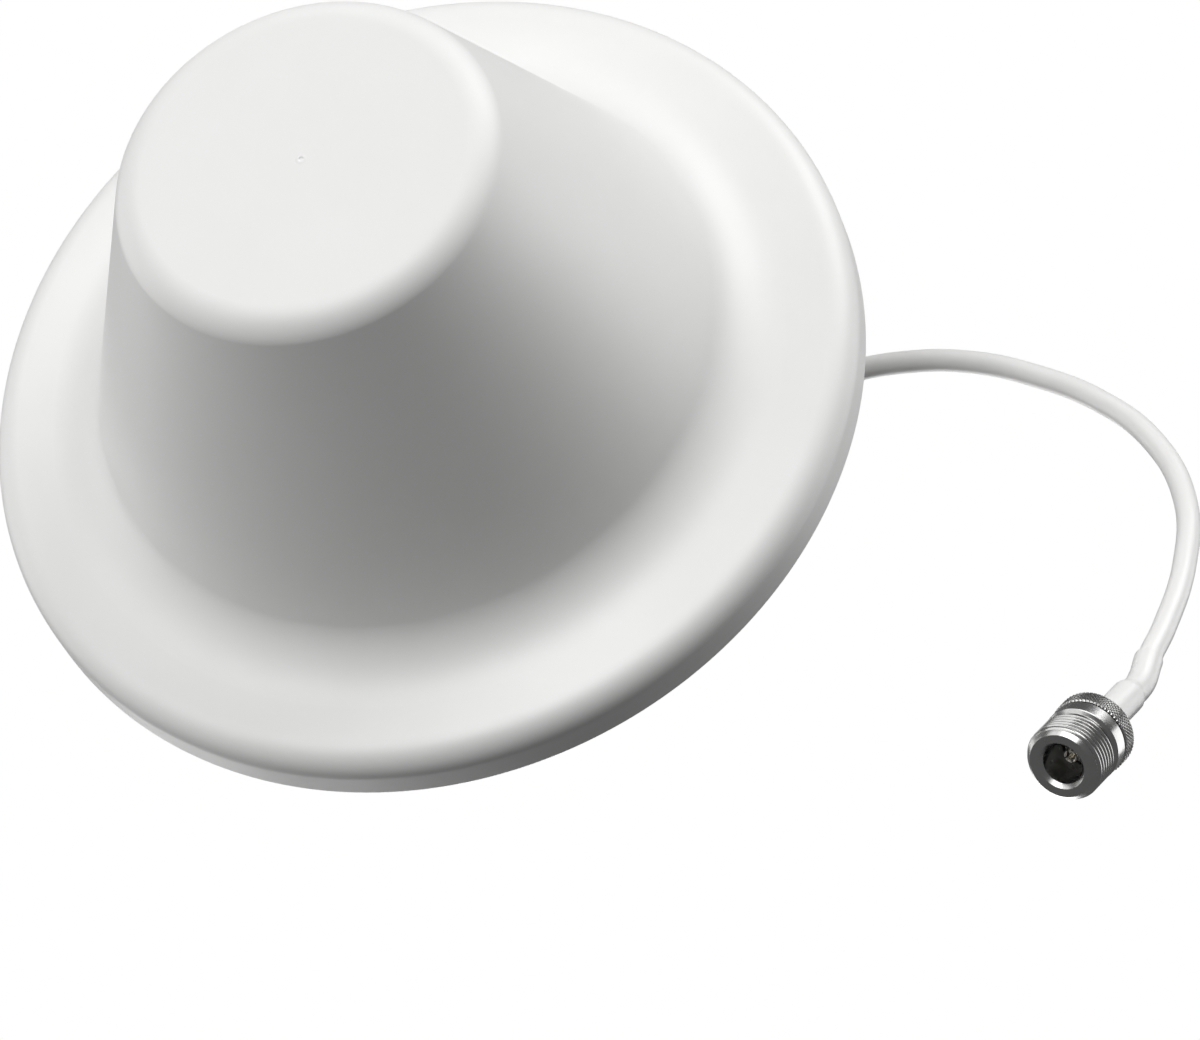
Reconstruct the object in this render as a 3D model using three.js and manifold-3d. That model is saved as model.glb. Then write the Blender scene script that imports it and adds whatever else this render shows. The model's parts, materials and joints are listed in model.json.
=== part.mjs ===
// Indoor ceiling dome antenna with a coax pigtail, for a cellular signal booster.
//
// Millimetres. The origin is the centre of the mounting plane, where the antenna's rim meets the ceiling.
// +Z points up into the ceiling, along the hollow threaded stud. The radome hangs below, towards -Z.
// The pigtail rises out of the stud, bends over the rim and comes down to an N-type socket.

import * as THREE from 'three';
import { mergeVertices } from 'three/addons/utils/BufferGeometryUtils.js';
import Module from 'manifold-3d';

const wasm = await Module();
wasm.setup();

// ---------------------------------------------------------------- driving dimensions

const GAP = 0.3;                       // clearance kept between neighbouring pieces

const RIM_RADIUS = 93;                 // 186 mm across the rim
const DOME_DEPTH = 91;                 // mounting plane to the dome's flat end
const WALL = 2.4;                      // moulded wall of the radome
const RIM_LAND = 6.1;                  // straight part of the rim's outer wall
const RIM_ROUND = 5.9;                 // roll from the rim wall into the flange
const FLANGE_INNER_RADIUS = 80.1;      // where the flat flange starts to sweep into the cone
const SWEEP_RADIUS = 14.5;             // hollow sweep between flange and cone
const CONE_ANGLE = Math.atan(0.4);     // cone wall from the axis
const END_FLAT_RADIUS = 34;            // flat part of the dome's end
const END_ROUND = 7.1;                 // rounding of the dome's end

const PLATE_RADIUS = RIM_RADIUS - WALL - GAP;
const PLATE_TOP = -1.2;                // the back plate sits a little inside the rim
const PLATE_THICKNESS = 2.4;
const HUB_RADIUS = 21;                 // raised seat under the washer
const RIB_HEIGHT = 0.8;
const PLATE_SCREW_CIRCLE = 83.6;
const GROUND_SCREW_CIRCLE = 66;
const SCREW_COUNT = 4;
const SCREW_RADIUS = 1.5;              // M3 self-tapping
const SCREW_HEAD_RADIUS = 2.9;

const STUD_RADIUS = 11;                // 22 mm hollow stud, for a 25 mm hole in the tile
const STUD_TOP = 36;
const STUD_BORE = 2.9;
const STUD_FLANGE_RADIUS = 16;
const STUD_FLANGE_THICKNESS = 3;
const NUT_ACROSS_FLATS = 33;
const NUT_HEIGHT = 8;
const WASHER_RADIUS = 19.5;
const WASHER_THICKNESS = 1.8;

const GROUND_RADIUS = 76;
const GROUND_THICKNESS = 1;
const SHEET = 0.8;                     // brass sheet of the radiator and its strips
const CONE_MOUTH_RADIUS = 30;
const CONE_MOUTH_Z = -56;
const SLEEVE_END_Z = -80;
const SLEEVE_LIP_RADIUS = 38.5;
const LEG_COUNT = 3;
const LEG_RADIUS = 44;
const LEG_WIDTH = 6;
const POST_CIRCLE = 35.4;
const POST_RADIUS = 3;

const COAX_RADIUS = 2.475;             // RG-58 class jacket, 4.95 mm
const GROMMET_TIP = 46;

const THREAD_RADIUS = 7.94;            // 5/8-24 thread of the N-type socket
const SOCKET_BORE = 4.15;
const CONTACT_RADIUS = 1.5;
const KNURL_RADIUS = 8.25;
const THREAD_BACK = 7.3;               // distances along the socket run back from its front face
const COLLAR_RADIUS = 8;
const COLLAR_BACK = 12.1;
const KNURL_BACK = 16.2;
const CRIMP_FRONT = KNURL_BACK + 0.7;
const SLEEVE_RADIUS = 3.5;
const SLEEVE_SHOULDER = 32.7;
const SLEEVE_TAIL_RADIUS = 2.95;

const SOCKET_FACE = new THREE.Vector3(-75.6, -151.2, -7.7);
const SOCKET_NOSE = new THREE.Vector3(0.627, -0.527, -0.573).normalize();

// The pigtail's centreline, from the grommet's tip to the heat-shrink sleeve.
const PIGTAIL_ROUTE = [
  [0, 0, 46.3], [-0.2, 0, 51], [-1.5, 0.5, 56.5], [-4.5, 1, 62], [-9.5, 2, 67], [-15.5, 3.5, 70.5],
  [-23, 5, 73], [-37.5, 7, 76.5], [-52, 7.5, 76.5], [-67, 6.5, 74], [-81, 2.5, 70.5], [-94, -4.5, 67],
  [-106.5, -15.5, 62.5], [-116.5, -29, 58], [-125, -45.5, 52.5], [-129.5, -64.5, 45.5], [-128, -85, 38],
  [-120, -103.5, 29.5], [-109, -119, 21], [-103, -126, 16.5],
].map((point) => new THREE.Vector3(...point));

// ---------------------------------------------------------------- levels worked out from them

const PLATE_BOTTOM = PLATE_TOP - PLATE_THICKNESS;
const STUD_FLANGE_TOP = PLATE_BOTTOM - GAP;
const STUD_FLANGE_BOTTOM = STUD_FLANGE_TOP - STUD_FLANGE_THICKNESS;
const GROUND_TOP = STUD_FLANGE_BOTTOM - GAP;
const GROUND_BOTTOM = GROUND_TOP - GROUND_THICKNESS;
const FLANGE_Z = -(RIM_LAND + RIM_ROUND);
const UNDER_GROUND = GROUND_BOTTOM - GAP;
const LIP_TOP = CONE_MOUTH_Z + 2;
const WASHER_BOTTOM = GAP;
const NUT_BOTTOM = WASHER_BOTTOM + WASHER_THICKNESS + GAP;

// ---------------------------------------------------------------- materials

const material = (color, roughness, metalness) => new THREE.MeshStandardMaterial({ color, roughness, metalness });

const whiteAbs = () => material(0xeeeeec, 0.45, 0);
const backAbs = () => material(0xe6e6e2, 0.55, 0);
const nylon = () => material(0xdcd9cc, 0.5, 0);
const aluminium = () => material(0xb9bbbd, 0.4, 1);
const tinnedBrass = () => material(0xb8b2a0, 0.35, 1);
const nickel = () => material(0x9c9a96, 0.25, 1);
const gold = () => material(0xc9a24a, 0.25, 1);
const ptfe = () => material(0xf2f2ee, 0.5, 0);
const zincSteel = () => material(0xa4a6a8, 0.35, 1);
const whitePvc = () => material(0xf0f0ee, 0.5, 0);
const heatShrink = () => material(0xe9e9e6, 0.4, 0);
const softRubber = () => material(0xd9d9d4, 0.7, 0);
const copper = () => material(0xb87350, 0.3, 1);

// ---------------------------------------------------------------- solids

// A closed geometry with its shared vertices merged and its faces pointing out.
function closed(geometry) {
  const bare = geometry.clone();
  bare.deleteAttribute('normal');
  bare.deleteAttribute('uv');
  const merged = mergeVertices(bare, 1e-4);
  const index = merged.index.array;
  const kept = [];
  for (let i = 0; i < index.length; i += 3) {
    const [a, b, c] = [index[i], index[i + 1], index[i + 2]];
    if (a !== b && b !== c && c !== a) kept.push(a, b, c);
  }
  merged.setIndex(kept);
  if (signedVolume(merged) < 0) flip(merged);
  return merged;
}

function signedVolume(geometry) {
  const position = geometry.attributes.position;
  const index = geometry.index.array;
  const [a, b, c] = [new THREE.Vector3(), new THREE.Vector3(), new THREE.Vector3()];
  let volume = 0;
  for (let i = 0; i < index.length; i += 3) {
    a.fromBufferAttribute(position, index[i]);
    b.fromBufferAttribute(position, index[i + 1]);
    c.fromBufferAttribute(position, index[i + 2]);
    volume += a.dot(b.cross(c)) / 6;
  }
  return volume;
}

function flip(geometry) {
  const index = geometry.index.array;
  for (let i = 0; i < index.length; i += 3) {
    [index[i + 1], index[i + 2]] = [index[i + 2], index[i + 1]];
  }
}

function toSolid(geometry) {
  const merged = closed(geometry);
  return new wasm.Manifold(new wasm.Mesh({
    numProp: 3,
    vertProperties: new Float32Array(merged.attributes.position.array),
    triVerts: new Uint32Array(merged.index.array),
  }));
}

function fromSolid(solid) {
  const mesh = solid.getMesh();
  const geometry = new THREE.BufferGeometry();
  geometry.setAttribute('position', new THREE.BufferAttribute(Float32Array.from(mesh.vertProperties), 3));
  geometry.setIndex(Array.from(mesh.triVerts));
  return geometry;
}

function join(first, ...others) {
  return fromSolid(others.reduce((solid, other) => solid.add(toSolid(other)), toSolid(first)));
}

function cut(first, ...tools) {
  return fromSolid(tools.reduce((solid, tool) => solid.subtract(toSolid(tool)), toSolid(first)));
}

// Points of an arc in the (radius, height) plane, angles in radians from the radial direction.
function arc(radius, height, size, from, to, steps) {
  return Array.from({ length: steps + 1 }, (_, i) => {
    const angle = from + ((to - from) * i) / steps;
    return [radius + size * Math.cos(angle), height + size * Math.sin(angle)];
  });
}

// A turned solid about Z from its (radius, height) profile. An open profile starts and ends on the axis.
function turned(profile, segments, onAxis = false) {
  const points = profile.map(([radius, height]) => new THREE.Vector2(radius, height));
  if (!onAxis) points.push(points[0].clone());
  const geometry = new THREE.LatheGeometry(points, segments);
  geometry.rotateX(Math.PI / 2);
  return closed(geometry);
}

// A plain ring or, with no inner radius, a disc.
function ring(inner, outer, bottom, top, segments = 24) {
  if (inner > 0) return turned([[inner, bottom], [outer, bottom], [outer, top], [inner, top]], segments);
  return turned([[0, bottom], [outer, bottom], [outer, top], [0, top]], segments, true);
}

function block(sizeX, sizeY, bottom, top, x = 0, y = 0) {
  const geometry = new THREE.BoxGeometry(sizeX, sizeY, top - bottom);
  geometry.translate(x, y, (bottom + top) / 2);
  return geometry;
}

// A round bar along a curve.
function bar(curve, radius, sides, steps) {
  const section = new THREE.Shape(
    Array.from({ length: sides }, (_, i) => {
      const angle = (2 * Math.PI * i) / sides;
      return new THREE.Vector2(radius * Math.cos(angle), radius * Math.sin(angle));
    }),
  );
  return closed(new THREE.ExtrudeGeometry(section, { steps, extrudePath: curve }));
}

// A copy of a geometry moved out to a circle and turned to an angle about Z.
function around(geometry, radius, angle) {
  const copy = geometry.clone();
  copy.translate(radius, 0, 0);
  copy.rotateZ(angle);
  return copy;
}

// ---------------------------------------------------------------- the scene graph

const antenna = new THREE.Group();
const socket = new THREE.Group();
socket.position.copy(SOCKET_FACE);
socket.quaternion.setFromUnitVectors(new THREE.Vector3(0, 0, 1), SOCKET_NOSE.clone().negate());
antenna.add(socket);

function place(name, geometry, surface, parent = antenna, angle = 0) {
  const mesh = new THREE.Mesh(geometry, surface);
  mesh.name = name;
  mesh.rotation.z = angle;
  parent.add(mesh);
  return mesh;
}

// ---------------------------------------------------------------- radome

function radomeProfile() {
  const [c, s] = [Math.cos(CONE_ANGLE), Math.sin(CONE_ANGLE)];
  const sweepZ = FLANGE_Z - SWEEP_RADIUS;
  const endZ = -DOME_DEPTH + END_ROUND;
  const roundCentre = RIM_RADIUS - RIM_ROUND;
  const inner = RIM_RADIUS - WALL;
  const sweepFrom = Math.PI / 2;
  const sweepTo = Math.atan2(s, -c);
  const endFrom = Math.atan2(-s, c);
  const outside = [
    [inner, 0],
    [RIM_RADIUS - 0.8, 0],
    [RIM_RADIUS, -0.8],
    ...arc(roundCentre, -RIM_LAND, RIM_ROUND, 0, -Math.PI / 2, 5),
    ...arc(FLANGE_INNER_RADIUS, sweepZ, SWEEP_RADIUS, sweepFrom, sweepTo, 6),
    ...arc(END_FLAT_RADIUS, endZ, END_ROUND, endFrom, -Math.PI / 2, 5),
    [0, -DOME_DEPTH],
  ];
  const inside = [
    [0, -DOME_DEPTH + WALL],
    ...arc(END_FLAT_RADIUS, endZ, END_ROUND - WALL, -Math.PI / 2, endFrom, 2),
    ...arc(FLANGE_INNER_RADIUS, sweepZ, SWEEP_RADIUS + WALL, sweepTo, sweepFrom, 3),
    ...arc(roundCentre, -RIM_LAND, RIM_ROUND - WALL, -Math.PI / 2, 0, 2),
  ];
  return { outside, inside };
}

function radome() {
  const { outside, inside } = radomeProfile();
  // The shell is one loop from the dome's outer pole, over the rim and back to its inner pole.
  const loop = [...outside.slice().reverse(), ...inside.slice().reverse()];
  const shell = turned(loop, 48, true);
  const bossTop = PLATE_BOTTOM - GAP;
  const boss = ring(SCREW_RADIUS + GAP, 3.7, FLANGE_Z + WALL - 0.6, bossTop, 16);
  const bosses = Array.from({ length: SCREW_COUNT }, (_, i) => around(boss, PLATE_SCREW_CIRCLE, screwAngle(i)));
  return join(shell, ...bosses);
}

const screwAngle = (i) => ((i + 0.5) * 2 * Math.PI) / SCREW_COUNT;
const legAngle = (i) => ((i + 0.25) * 2 * Math.PI) / LEG_COUNT;
const postAngle = (i) => legAngle(i) + Math.PI / LEG_COUNT;

// ---------------------------------------------------------------- back plate and its screws

function backPlate() {
  const disc = ring(STUD_RADIUS + GAP, PLATE_RADIUS, PLATE_BOTTOM, PLATE_TOP, 48);
  const hub = ring(STUD_RADIUS + GAP, HUB_RADIUS, PLATE_BOTTOM, 0, 32);
  const ribTop = PLATE_TOP + RIB_HEIGHT;
  const ribRings = [50, 76].map((radius) => ring(radius - 0.7, radius + 0.7, PLATE_BOTTOM, ribTop, 36));
  const ribLength = 76 - HUB_RADIUS + 1;
  const rib = block(ribLength, 1.4, PLATE_BOTTOM, ribTop);
  const ribs = Array.from({ length: 8 }, (_, i) => around(rib, (76 + HUB_RADIUS) / 2, (i * Math.PI) / 4));
  const post = ring(0, 3.6, GROUND_TOP + GAP, PLATE_BOTTOM + 0.5, 16);
  const pilot = ring(0, SCREW_RADIUS + GAP, GROUND_TOP - 1, PLATE_TOP - 1, 16);
  const well = ring(0, 3.6, PLATE_TOP - 1.2, PLATE_TOP + 1, 20);
  const hole = ring(0, SCREW_RADIUS + GAP, PLATE_BOTTOM - 1, PLATE_TOP + 1, 16);
  const onCircle = (shape, radius) =>
    Array.from({ length: SCREW_COUNT }, (_, i) => around(shape, radius, screwAngle(i)));
  const body = join(disc, hub, ...ribRings, ...ribs, ...onCircle(post, GROUND_SCREW_CIRCLE));
  return cut(
    body,
    ...onCircle(pilot, GROUND_SCREW_CIRCLE),
    ...onCircle(well, PLATE_SCREW_CIRCLE),
    ...onCircle(hole, PLATE_SCREW_CIRCLE),
  );
}

// A pan-head screw with its seat at height 0 and its shank running along -Z.
function screw(length, headHeight) {
  return turned([
    [0, -length],
    [0.5, -length],
    [SCREW_RADIUS, -length + 1.6],
    [SCREW_RADIUS, 0],
    [SCREW_HEAD_RADIUS, 0],
    [SCREW_HEAD_RADIUS, headHeight * 0.45],
    [SCREW_HEAD_RADIUS - 0.9, headHeight],
    [0, headHeight],
  ], 16, true);
}

function plateScrew(i) {
  const geometry = screw(5.6, 1.5);
  geometry.translate(0, 0, PLATE_TOP - 1.2 + GAP);
  return around(geometry, PLATE_SCREW_CIRCLE, screwAngle(i));
}

function groundScrew(i) {
  const geometry = screw(6, 1.6);
  geometry.rotateX(Math.PI);
  geometry.translate(0, 0, UNDER_GROUND);
  return around(geometry, GROUND_SCREW_CIRCLE, screwAngle(i));
}

// ---------------------------------------------------------------- stud, washer, nut and grommet

function threadedStud() {
  const shank = turned([
    [STUD_BORE, STUD_FLANGE_BOTTOM],
    [STUD_FLANGE_RADIUS, STUD_FLANGE_BOTTOM],
    [STUD_FLANGE_RADIUS, STUD_FLANGE_TOP],
    [STUD_RADIUS, STUD_FLANGE_TOP],
    [STUD_RADIUS, STUD_TOP - 1.2],
    [STUD_RADIUS - 1.2, STUD_TOP],
    [STUD_BORE, STUD_TOP],
  ], 32);
  const bushSeat = ring(0, 4.6, STUD_FLANGE_BOTTOM - 1, STUD_FLANGE_BOTTOM + 4.2, 24);
  const grommetSeat = ring(0, 6.3, STUD_TOP - 12.3, STUD_TOP + 1, 24);
  return cut(shank, bushSeat, grommetSeat);
}

function clampWasher() {
  return ring(STUD_RADIUS + 0.5, WASHER_RADIUS, WASHER_BOTTOM, WASHER_BOTTOM + WASHER_THICKNESS, 36);
}

function clampNut() {
  const corner = NUT_ACROSS_FLATS / Math.sqrt(3);
  const hexagon = new THREE.CylinderGeometry(corner, corner, NUT_HEIGHT, 6);
  hexagon.rotateX(Math.PI / 2);
  hexagon.translate(0, 0, NUT_BOTTOM + NUT_HEIGHT / 2);
  const edge = NUT_ACROSS_FLATS / 2 + 0.4;
  const chamfered = turned([
    [0, NUT_BOTTOM - 1],
    [edge, NUT_BOTTOM - 1],
    [edge, NUT_BOTTOM],
    [corner + 1, NUT_BOTTOM + 1.8],
    [corner + 1, NUT_BOTTOM + NUT_HEIGHT - 1.8],
    [edge, NUT_BOTTOM + NUT_HEIGHT],
    [edge, NUT_BOTTOM + NUT_HEIGHT + 1],
    [0, NUT_BOTTOM + NUT_HEIGHT + 1],
  ], 36, true);
  const bore = ring(0, STUD_RADIUS + GAP, NUT_BOTTOM - 2, NUT_BOTTOM + NUT_HEIGHT + 2, 36);
  return fromSolid(toSolid(hexagon).intersect(toSolid(chamfered)).subtract(toSolid(bore)));
}

function cableGrommet() {
  const hole = COAX_RADIUS + GAP;
  return turned([
    [hole, STUD_TOP - 12],
    [6, STUD_TOP - 12],
    [6, STUD_TOP + GAP],
    [8.2, STUD_TOP + GAP],
    [8.2, STUD_TOP + 1.6],
    [7.6, STUD_TOP + 2.2],
    [5, STUD_TOP + 2.8],
    [3.8, GROMMET_TIP],
    [hole, GROMMET_TIP],
  ], 20);
}

// ---------------------------------------------------------------- ground plane, radiator and feed

function groundPlane() {
  const disc = ring(4.3, GROUND_RADIUS, GROUND_BOTTOM, GROUND_TOP, 36);
  const hole = ring(0, SCREW_RADIUS + GAP, GROUND_BOTTOM - 1, GROUND_TOP + 1, 12);
  const holes = Array.from({ length: SCREW_COUNT }, (_, i) => around(hole, GROUND_SCREW_CIRCLE, screwAngle(i)));
  return cut(disc, ...holes);
}

function radiatorCone() {
  const apexZ = -11.6;
  return turned([
    [0.8, apexZ],
    [2.6, apexZ],
    [CONE_MOUTH_RADIUS, CONE_MOUTH_Z],
    [CONE_MOUTH_RADIUS - SHEET * 1.2, CONE_MOUTH_Z],
    [2, apexZ - 1.2],
    [0.8, apexZ - 1.2],
  ], 32);
}

function radiatorSleeve() {
  const outer = CONE_MOUTH_RADIUS + 0.4 + SHEET;
  return turned([
    [outer - SHEET, SLEEVE_END_Z],
    [outer, SLEEVE_END_Z],
    [outer, LIP_TOP - SHEET],
    [SLEEVE_LIP_RADIUS, LIP_TOP - SHEET],
    [SLEEVE_LIP_RADIUS, LIP_TOP],
    [outer - SHEET, LIP_TOP],
  ], 32);
}

function shortingStrip(i) {
  const tabTop = LIP_TOP - SHEET - GAP;
  const leg = block(SHEET, LEG_WIDTH, tabTop - SHEET, UNDER_GROUND);
  const foot = block(8, LEG_WIDTH, UNDER_GROUND - SHEET, UNDER_GROUND, 4 - SHEET / 2);
  const tabLength = LEG_RADIUS - 34;
  const tab = block(tabLength, LEG_WIDTH, tabTop - SHEET, tabTop, -tabLength / 2 + SHEET / 2);
  return around(join(leg, foot, tab), LEG_RADIUS, legAngle(i));
}

function supportPost(i) {
  return around(ring(0, POST_RADIUS, LIP_TOP + GAP, UNDER_GROUND, 16), POST_CIRCLE, postAngle(i));
}

function feedBush() {
  const hole = COAX_RADIUS + GAP;
  return turned([
    [1.8, UNDER_GROUND - 1],
    [7, UNDER_GROUND - 1],
    [7, UNDER_GROUND],
    [4, UNDER_GROUND],
    [4, STUD_FLANGE_BOTTOM + 3.4],
    [hole, STUD_FLANGE_BOTTOM + 3.4],
    [hole, GROUND_TOP],
    [1.8, GROUND_TOP],
  ], 24);
}

const feedInsulator = () => ring(0.8, 1.5, -11.2, GROUND_TOP, 16);
const feedPin = () => ring(0, 0.5, -13.6, GROUND_TOP, 10);
const leadInStud = () => ring(0, COAX_RADIUS, GROUND_TOP + GAP, GROMMET_TIP, 12);

// ---------------------------------------------------------------- pigtail, from the grommet to the sleeve

const coaxPigtail = () => bar(new THREE.CatmullRomCurve3(PIGTAIL_ROUTE), COAX_RADIUS, 10, 32);

// ---------------------------------------------------------------- N-type socket, heights run back from its face

function socketBody() {
  const collarFront = COLLAR_BACK - 3.1;
  return turned([
    [SOCKET_BORE + 0.8, 0],
    [6.65, 0],
    [7.45, 0.8],
    [THREAD_RADIUS, 1.3],
    [THREAD_RADIUS, THREAD_BACK],
    [7.1, THREAD_BACK + 0.5],
    [7.1, collarFront - 0.5],
    [COLLAR_RADIUS, collarFront],
    [COLLAR_RADIUS, COLLAR_BACK],
    [5.2, COLLAR_BACK],
    [5.2, KNURL_BACK + 0.2],
    [2.15, KNURL_BACK + 0.2],
    [2.15, 28],
    [1.6, 28],
    [1.6, 15.2],
    [SOCKET_BORE, 15.2],
    [SOCKET_BORE, 0.8],
  ], 24);
}

const socketInsulator = () => ring(CONTACT_RADIUS + 0.35, SOCKET_BORE - GAP, 9.4, 14.9, 24);

function socketContact() {
  const tube = turned([
    [0.85, 4.2],
    [CONTACT_RADIUS, 4.2],
    [CONTACT_RADIUS, 17],
    [0, 17],
    [0, 8.4],
    [0.85, 8.4],
  ].reverse(), 20, false);
  const slot = block(4, 0.4, 3, 8);
  const crossSlot = block(0.4, 4, 3, 8);
  return cut(tube, slot, crossSlot);
}

function knurledRing() {
  const front = COLLAR_BACK + GAP;
  return turned([
    [5.5, front],
    [KNURL_RADIUS - 0.3, front],
    [KNURL_RADIUS, front + 0.3],
    [KNURL_RADIUS, KNURL_BACK - 0.5],
    [KNURL_RADIUS - 0.6, KNURL_BACK],
    [5.5, KNURL_BACK],
  ], 28);
}

const crimpFerrule = () => ring(2.45, 2.9, CRIMP_FRONT, SLEEVE_SHOULDER - 0.8, 20);

// The sleeve is straight over the ferrule and bends with the cable behind its shoulder.
function heatShrinkSleeve() {
  const overFerrule = turned([
    [3.2, CRIMP_FRONT],
    [SLEEVE_RADIUS, CRIMP_FRONT],
    [SLEEVE_RADIUS, SLEEVE_SHOULDER - 0.9],
    [SLEEVE_TAIL_RADIUS, SLEEVE_SHOULDER],
    [0, SLEEVE_SHOULDER],
    [0, SLEEVE_SHOULDER - 0.5],
    [3.2, SLEEVE_SHOULDER - 0.5],
  ].reverse(), 20, false);
  socket.updateMatrixWorld(true);
  const end = PIGTAIL_ROUTE.at(-1);
  const before = PIGTAIL_ROUTE.at(-2);
  const along = end.clone().sub(before).normalize();
  const bend = new THREE.CatmullRomCurve3([
    end.clone().addScaledVector(along, GAP),
    end.clone().addScaledVector(along, 4.5),
    socket.localToWorld(new THREE.Vector3(0, 0, SLEEVE_SHOULDER + 2.5)),
    socket.localToWorld(new THREE.Vector3(0, 0, SLEEVE_SHOULDER - 0.3)),
  ].map((point) => socket.worldToLocal(point.clone())));
  return join(overFerrule, bar(bend, SLEEVE_TAIL_RADIUS, 12, 5));
}

// ---------------------------------------------------------------- assembly

place('radome', radome(), whiteAbs());
place('back_plate', backPlate(), backAbs());
place('threaded_stud', threadedStud(), whiteAbs());
place('clamp_washer', clampWasher(), whiteAbs());
place('clamp_nut', clampNut(), whiteAbs());
place('cable_grommet', cableGrommet(), softRubber());
place('ground_plane', groundPlane(), aluminium());
place('radiator_cone', radiatorCone(), tinnedBrass());
place('radiator_sleeve', radiatorSleeve(), tinnedBrass());
place('feed_bush', feedBush(), tinnedBrass());
place('feed_insulator', feedInsulator(), ptfe());
place('feed_pin', feedPin(), copper());
place('coax_lead_in_stud', leadInStud(), whitePvc());

for (let i = 0; i < SCREW_COUNT; i += 1) {
  place(`plate_screw_${i + 1}`, plateScrew(i), zincSteel());
  place(`ground_screw_${i + 1}`, groundScrew(i), zincSteel());
}

for (let i = 0; i < LEG_COUNT; i += 1) {
  place(`shorting_strip_${i + 1}`, shortingStrip(i), tinnedBrass());
  place(`support_post_${i + 1}`, supportPost(i), nylon());
}

place('coax_pigtail', coaxPigtail(), whitePvc());
place('heat_shrink_sleeve', heatShrinkSleeve(), heatShrink(), socket);
place('crimp_ferrule', crimpFerrule(), nickel(), socket);
place('socket_knurled_ring', knurledRing(), nickel(), socket);
place('socket_body', socketBody(), nickel(), socket);
place('socket_insulator', socketInsulator(), ptfe(), socket);
place('socket_contact', socketContact(), gold(), socket);

export default antenna;
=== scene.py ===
"""Indoor ceiling dome antenna with a coax pigtail and an N-type socket.

Metres in the scene, in the part's own frame: the origin is the centre of the mounting plane, +Z runs up
along the hollow stud, and the dome hangs below. Sizes in the classes are millimetres, and become metres when
a piece is made.
"""

import json
import logging
import math
from dataclasses import dataclass
from enum import Enum

import bmesh
import bpy
from bpy.types import Material, Node, NodeSocket, NodeTree, Object
from mathutils import Matrix, Vector
from mathutils.geometry import interpolate_bezier


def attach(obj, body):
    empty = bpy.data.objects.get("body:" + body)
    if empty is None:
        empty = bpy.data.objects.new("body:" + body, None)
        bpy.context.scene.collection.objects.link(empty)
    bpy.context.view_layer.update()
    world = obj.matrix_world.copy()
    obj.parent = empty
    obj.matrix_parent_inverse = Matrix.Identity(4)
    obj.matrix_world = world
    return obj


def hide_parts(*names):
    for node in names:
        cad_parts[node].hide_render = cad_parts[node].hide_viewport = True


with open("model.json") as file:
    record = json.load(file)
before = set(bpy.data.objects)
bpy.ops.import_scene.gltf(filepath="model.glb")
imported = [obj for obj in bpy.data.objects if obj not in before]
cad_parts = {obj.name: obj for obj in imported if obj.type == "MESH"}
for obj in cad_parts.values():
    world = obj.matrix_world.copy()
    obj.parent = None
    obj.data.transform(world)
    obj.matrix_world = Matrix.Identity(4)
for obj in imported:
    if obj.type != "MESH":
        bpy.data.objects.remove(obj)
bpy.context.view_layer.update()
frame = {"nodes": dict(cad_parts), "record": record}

LOG = logging.getLogger("ceiling_antenna")

MM = 0.001
TAU = 2 * math.pi
WELD_MM = 1e-4
SHARP_DEGREES = 32.0
MOST_SECTORS = 32  # a whole turn is spun as one sector, which is then copied round
CHUNKS_A_TURN = 8  # a thread's turn is spun as one chunk, which is then copied along

# A corner of a turned outline: radius, height and fillet radius, in millimetres.
Corner = tuple[float, float, float]


class Body(Enum):
    """The rigid bodies that pieces ride on."""

    ANTENNA = "antenna"
    WASHER = "washer"
    NUT = "nut"


class Slot(Enum):
    """The record's material slots."""

    WHITE_ABS = "white_abs"
    BACK_ABS = "back_abs"
    STUD_ABS = "stud_abs"
    NUT_ABS = "nut_abs"
    GROMMET = "grommet_rubber"
    GROUND = "ground_aluminium"
    TINNED = "tinned_brass"
    PTFE = "ptfe"
    COPPER = "copper"
    JACKET = "coax_jacket"
    SHRINK = "heat_shrink"
    NICKEL = "nickel"
    CONTACT = "contact_plate"
    SCREW = "screw_zinc"
    NYLON = "nylon"


# ---------------------------------------------------------------- shader helpers


def linear(colour: str) -> tuple[float, float, float, float]:
    """Turns an sRGB hex colour to linear light.

    Args:
        colour: six hex digits, with or without a leading #.

    Returns:
        Red, green, blue and an alpha of 1.
    """
    digits = colour.lstrip("#")
    parts = [int(digits[i : i + 2], 16) / 255 for i in (0, 2, 4)]
    light = [c / 12.92 if c <= 0.04045 else ((c + 0.055) / 1.055) ** 2.4 for c in parts]
    return (light[0], light[1], light[2], 1.0)


def add_node(tree: NodeTree, kind: str, values: dict | None = None, **settings: object) -> Node:
    """Adds a shader node with its settings, values and links.

    Args:
        tree: the node tree.
        kind: the node's type, without its ShaderNode prefix.
        values: input name or number, to a value or to another node's output.
        settings: the node's own properties.

    Returns:
        The new node.
    """
    made = tree.nodes.new("ShaderNode" + kind)
    for name, value in settings.items():
        setattr(made, name, value)
    for key, value in (values or {}).items():
        if isinstance(value, NodeSocket):
            tree.links.new(value, made.inputs[key])
        else:
            made.inputs[key].default_value = value
    return made


def remap(
    tree: NodeTree, value: NodeSocket, start: tuple[float, float], end: tuple[float, float]
) -> NodeSocket:
    """Maps a value from one range to another, and holds it there.

    Args:
        tree: the node tree.
        value: the output to map.
        start: the range that it comes from.
        end: the range that it goes to.

    Returns:
        The mapped output.
    """
    values = {"Value": value, "From Min": start[0], "From Max": start[1], "To Min": end[0], "To Max": end[1]}
    return add_node(tree, "MapRange", values).outputs["Result"]


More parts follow.
